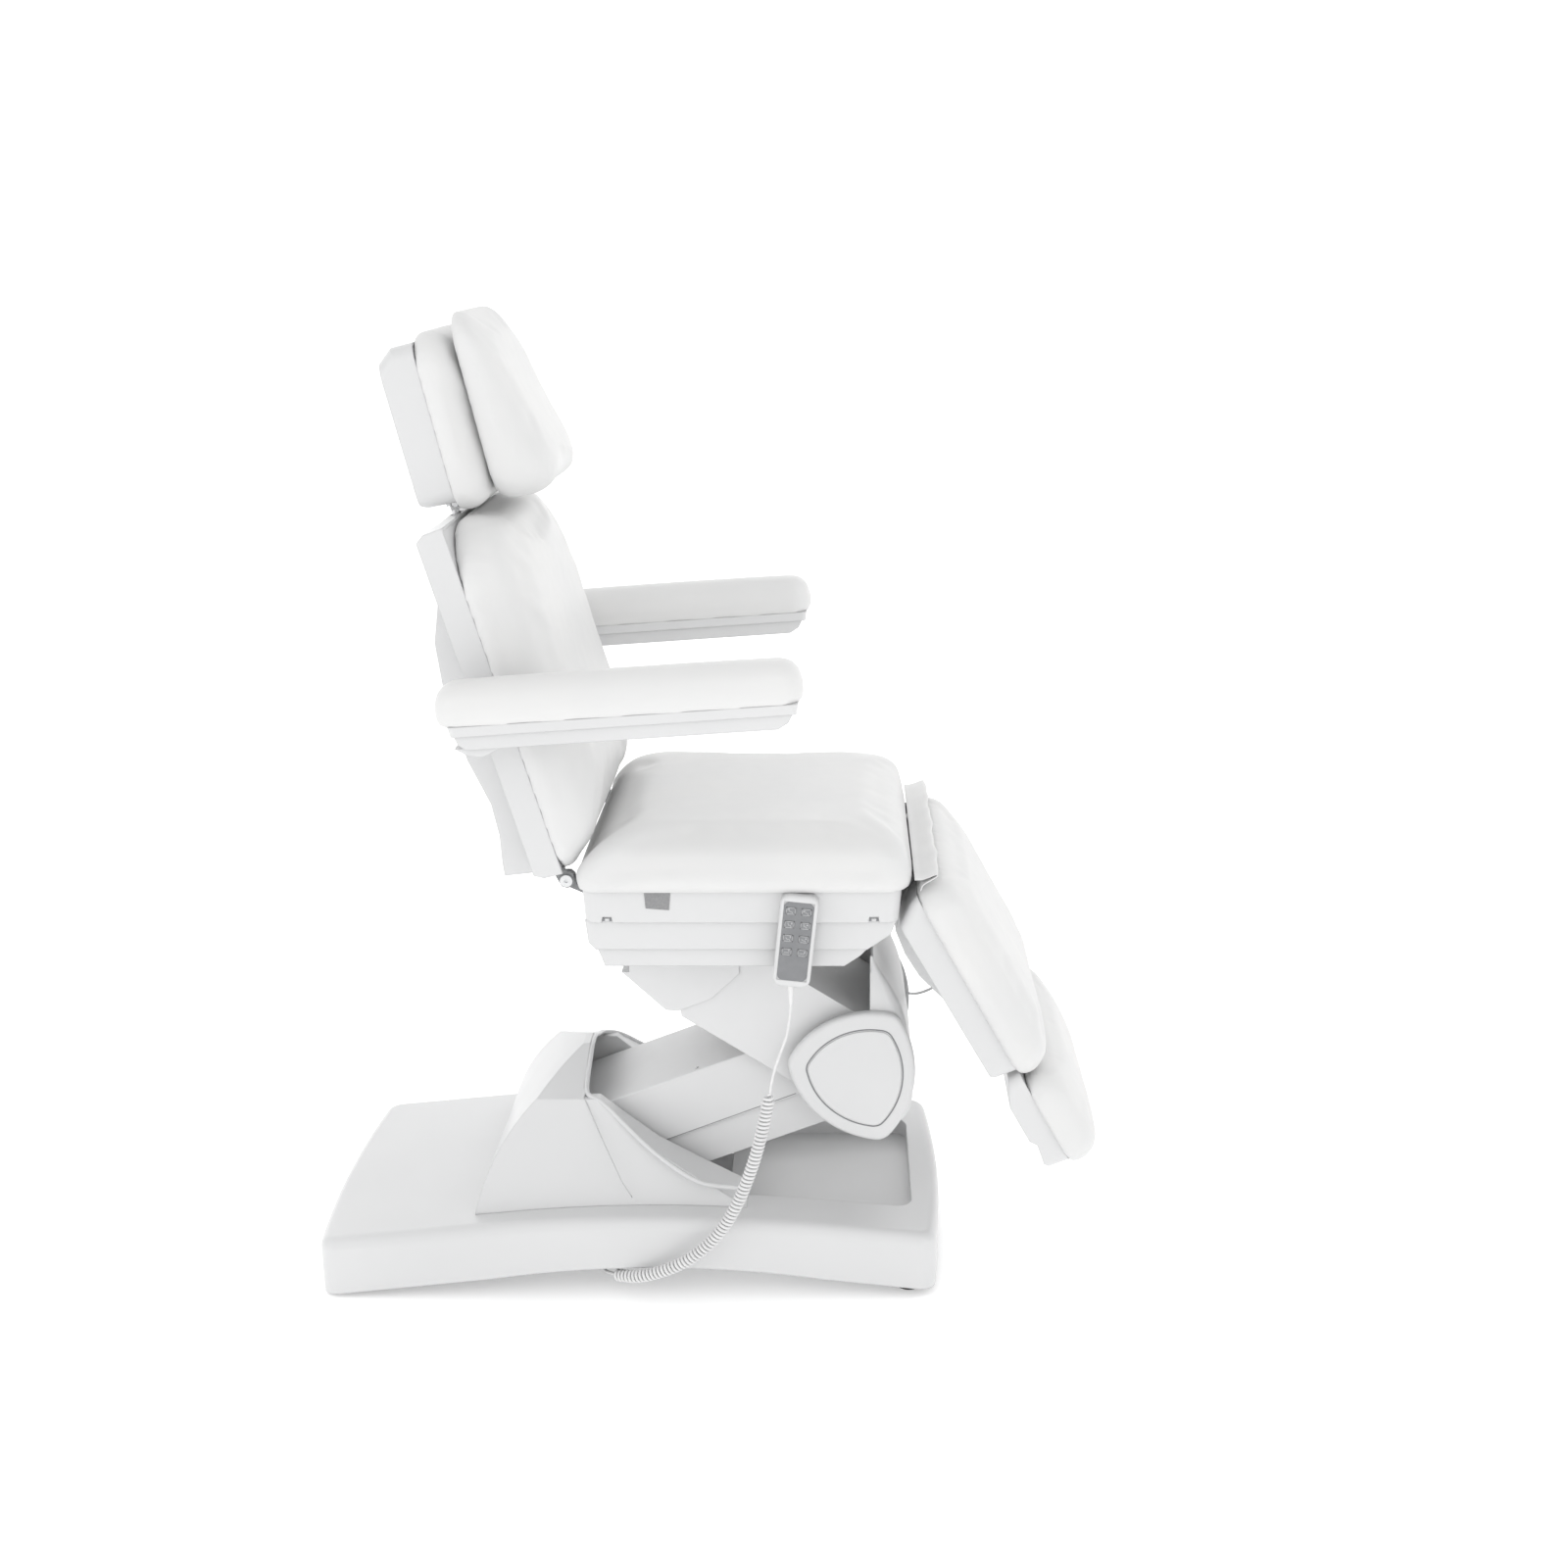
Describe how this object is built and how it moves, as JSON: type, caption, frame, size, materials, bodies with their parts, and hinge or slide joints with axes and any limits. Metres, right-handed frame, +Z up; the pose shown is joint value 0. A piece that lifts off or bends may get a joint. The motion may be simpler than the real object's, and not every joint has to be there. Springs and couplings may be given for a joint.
{
  "type": "pedicure treatment chair",
  "caption": "Electric pedicure treatment chair with arched base, scissor lift, tilting seat, reclining back, padded arms, raising legrest with sliding foot pad and a corded handset.",
  "frame": {"origin": "on the floor, under the middle of the chair's bounding box with the backrest up and the legrest down", "axes": "+X from the backrest towards the footrest, +Y to the sitter's left, +Z up"},
  "size_m": [1.3252, 0.7664, 1.6166],
  "materials": {
    "white_shell": "smooth gloss",
    "white_upholstery": "soft satin leatherette",
    "white_paint": "satin powder coat",
    "grey_paint": "satin powder coat",
    "bright_steel": "bright",
    "black_plastic": "matt",
    "black_rubber": "matt",
    "grey_panel": "matt film",
    "white_cord": "satin sheath"
  },
  "bodies": {
    "base": {"base_cover": "white_shell", "arm_shroud": "white_shell", "base_frame": "grey_paint", "levelling_feet": "black_rubber", "control_box": "black_plastic", "mains_inlet": "black_plastic", "cord_gland": "black_plastic", "curly_cord": "white_cord"},
    "lower_arm": {"lower_arm": "white_paint"},
    "lower_link": {"lower_link": "white_paint"},
    "knee": {"knee_frame": "white_paint", "column_cover": "white_shell", "knee_side_covers": "white_shell"},
    "upper_arm": {"upper_arm": "white_paint"},
    "upper_link": {"upper_link": "white_paint"},
    "seat_support": {"seat_support": "white_paint"},
    "lift_actuator": {"lift_actuator": "black_plastic"},
    "lift_rod": {"lift_rod": "bright_steel"},
    "tilt_actuator": {"tilt_actuator": "black_plastic"},
    "tilt_rod": {"tilt_rod": "bright_steel"},
    "seat": {"seat_frame": "grey_paint", "seat_tray": "white_shell", "seat_cushion": "white_upholstery", "blank_tag": "grey_panel", "handset_shell": "white_shell", "handset_panel": "grey_panel", "strain_relief": "white_cord", "handset_lead": "white_cord"},
    "back_actuator": {"back_actuator": "black_plastic"},
    "back_rod": {"back_rod": "bright_steel"},
    "leg_actuator": {"leg_actuator": "black_plastic"},
    "leg_rod": {"leg_rod": "bright_steel"},
    "backrest": {"back_frame": "grey_paint", "back_shell": "white_shell", "back_cushion": "white_upholstery", "back_hinge_bolts": "bright_steel"},
    "head_rods": {"head_rods": "bright_steel"},
    "headrest": {"head_shell": "white_shell", "head_cushion": "white_upholstery", "head_pillow": "white_upholstery"},
    "arm_left": {"arm_shell_left": "white_shell", "arm_pad_left": "white_upholstery"},
    "arm_right": {"arm_shell_right": "white_shell", "arm_pad_right": "white_upholstery"},
    "legrest": {"leg_frame": "grey_paint", "leg_shell": "white_shell", "leg_cushion": "white_upholstery", "gap_flap": "white_upholstery", "leg_cable": "white_cord"},
    "footrest": {"foot_rails": "grey_paint", "foot_shell": "white_shell", "foot_cushion": "white_upholstery"},
    "key_1": {"key_1": "grey_panel"},
    "key_2": {"key_2": "grey_panel"},
    "key_3": {"key_3": "grey_panel"},
    "key_4": {"key_4": "grey_panel"},
    "key_5": {"key_5": "grey_panel"},
    "key_6": {"key_6": "grey_panel"},
    "key_7": {"key_7": "grey_panel"},
    "key_8": {"key_8": "grey_panel"}
  },
  "joints": [
    {"name": "lift", "type": "slide", "parent": "base", "child": "seat_support", "axis": [0, 0, 1], "range_m": [-0.16, 0.025], "deforming": ["curly_cord"]},
    {"name": "lower_arm_swing", "type": "hinge", "parent": "base", "child": "lower_arm", "pos_m": [-0.198, 0, 0.203], "axis": [0, -1, 0], "range_deg": [-13.18, 2.08]},
    {"name": "lower_link_swing", "type": "hinge", "parent": "base", "child": "lower_link", "pos_m": [-0.178, 0, 0.123], "axis": [0, -1, 0], "range_deg": [-13.18, 2.08]},
    {"name": "knee_level", "type": "hinge", "parent": "lower_arm", "child": "knee", "pos_m": [0.25012, 0, 0.37502], "axis": [0, 1, 0], "range_deg": [-13.18, 2.08]},
    {"name": "upper_arm_swing", "type": "hinge", "parent": "knee", "child": "upper_arm", "pos_m": [0.25012, 0, 0.37502], "axis": [0, 1, 0], "range_deg": [-10.85, 1.71]},
    {"name": "upper_link_swing", "type": "hinge", "parent": "knee", "child": "upper_link", "pos_m": [0.27012, 0, 0.42502], "axis": [0, 1, 0], "range_deg": [-10.85, 1.71]},
    {"name": "lift_actuator_swing", "type": "hinge", "parent": "base", "child": "lift_actuator", "pos_m": [-0.178, 0, 0.123], "axis": [0, -1, 0], "range_deg": [-12.75, 2.01]},
    {"name": "lift_rod_stroke", "type": "slide", "parent": "lift_actuator", "child": "lift_rod", "axis": [0.8618, 0, 0.5073], "range_m": [-0.01874, 0.00301]},
    {"name": "seat_tilt", "type": "hinge", "parent": "seat_support", "child": "seat", "pos_m": [-0.1, 0, 0.64], "axis": [0, -1, 0], "range_deg": [0, 12], "deforming": ["handset_lead"]},
    {"name": "tilt_actuator_swing", "type": "hinge", "parent": "seat_support", "child": "tilt_actuator", "pos_m": [-0.0001, 0, 0.50985], "axis": [0, -1, 0], "range_deg": [0, 11.53]},
    {"name": "tilt_rod_stroke", "type": "slide", "parent": "tilt_actuator", "child": "tilt_rod", "axis": [0.8049, 0, 0.5934], "range_m": [0, 0.03434]},
    {"name": "back_recline", "type": "hinge", "parent": "seat", "child": "backrest", "pos_m": [-0.206, 0, 0.746], "axis": [0, -1, 0], "range_deg": [0, 74]},
    {"name": "back_actuator_swing", "type": "hinge", "parent": "seat", "child": "back_actuator", "pos_m": [0.15, 0, 0.638], "axis": [0, -1, 0], "range_deg": [0, 2.87]},
    {"name": "back_rod_stroke", "type": "slide", "parent": "back_actuator", "child": "back_rod", "axis": [-0.9782, 0, 0.2075], "range_m": [-0.05486, 0]},
    {"name": "leg_raise", "type": "hinge", "parent": "seat", "child": "legrest", "pos_m": [0.339, 0, 0.74], "axis": [0, -1, 0], "range_deg": [0, 61], "deforming": ["gap_flap", "leg_cable"]},
    {"name": "leg_actuator_swing", "type": "hinge", "parent": "seat", "child": "leg_actuator", "pos_m": [0.06, 0, 0.676], "axis": [0, -1, 0], "range_deg": [0, 0.4587]},
    {"name": "leg_rod_stroke", "type": "slide", "parent": "leg_actuator", "child": "leg_rod", "axis": [0.9954, 0, 0.0963], "range_m": [0, 0.04048]},
    {"name": "footrest_slide", "type": "slide", "parent": "legrest", "child": "footrest", "axis": [0.4848, 0, -0.8746], "range_m": [0, 0.08]},
    {"name": "headrest_slide", "type": "slide", "parent": "backrest", "child": "head_rods", "axis": [-0.2756, 0, 0.9613], "range_m": [0, 0.1]},
    {"name": "headrest_tilt", "type": "hinge", "parent": "head_rods", "child": "headrest", "pos_m": [-0.37907, 0, 1.32055], "axis": [0, -1, 0], "range_deg": [0, 35]},
    {"name": "arm_left_fold", "type": "hinge", "parent": "backrest", "child": "arm_left", "pos_m": [-0.30872, 0, 1.00263], "axis": [0, -1, 0], "range_deg": [-74, 75]},
    {"name": "arm_right_fold", "type": "hinge", "parent": "backrest", "child": "arm_right", "pos_m": [-0.30872, 0, 1.00263], "axis": [0, -1, 0], "range_deg": [-74, 75]},
    {"name": "key_1_press", "type": "slide", "parent": "seat", "child": "key_1", "axis": [0, 1, 0], "range_m": [0, 0.0006], "stiffness_N_per_m": 400},
    {"name": "key_2_press", "type": "slide", "parent": "seat", "child": "key_2", "axis": [0, 1, 0], "range_m": [0, 0.0006], "stiffness_N_per_m": 400},
    {"name": "key_3_press", "type": "slide", "parent": "seat", "child": "key_3", "axis": [0, 1, 0], "range_m": [0, 0.0006], "stiffness_N_per_m": 400},
    {"name": "key_4_press", "type": "slide", "parent": "seat", "child": "key_4", "axis": [0, 1, 0], "range_m": [0, 0.0006], "stiffness_N_per_m": 400},
    {"name": "key_5_press", "type": "slide", "parent": "seat", "child": "key_5", "axis": [0, 1, 0], "range_m": [0, 0.0006], "stiffness_N_per_m": 400},
    {"name": "key_6_press", "type": "slide", "parent": "seat", "child": "key_6", "axis": [0, 1, 0], "range_m": [0, 0.0006], "stiffness_N_per_m": 400},
    {"name": "key_7_press", "type": "slide", "parent": "seat", "child": "key_7", "axis": [0, 1, 0], "range_m": [0, 0.0006], "stiffness_N_per_m": 400},
    {"name": "key_8_press", "type": "slide", "parent": "seat", "child": "key_8", "axis": [0, 1, 0], "range_m": [0, 0.0006], "stiffness_N_per_m": 400}
  ],
  "couplings": [
    {"joint": "lower_arm_swing", "follows": "lift", "rad_per_m": 1.435},
    {"joint": "lower_link_swing", "follows": "lift", "rad_per_m": 1.435},
    {"joint": "knee_level", "follows": "lift", "rad_per_m": 1.435},
    {"joint": "upper_arm_swing", "follows": "lift", "rad_per_m": 1.1809},
    {"joint": "upper_link_swing", "follows": "lift", "rad_per_m": 1.1809},
    {"joint": "lift_actuator_swing", "follows": "lift", "rad_per_m": 1.389},
    {"joint": "lift_rod_stroke", "follows": "lift", "ratio": 0.11647},
    {"joint": "tilt_actuator_swing", "follows": "seat_tilt", "ratio": 0.95891},
    {"joint": "tilt_rod_stroke", "follows": "seat_tilt", "m_per_rad": 0.16348},
    {"joint": "back_actuator_swing", "follows": "back_recline", "ratio": 0.038575},
    {"joint": "back_rod_stroke", "follows": "back_recline", "m_per_rad": -0.042399},
    {"joint": "leg_actuator_swing", "follows": "leg_raise", "ratio": 0.007192},
    {"joint": "leg_rod_stroke", "follows": "leg_raise", "m_per_rad": 0.037925}
  ]
}
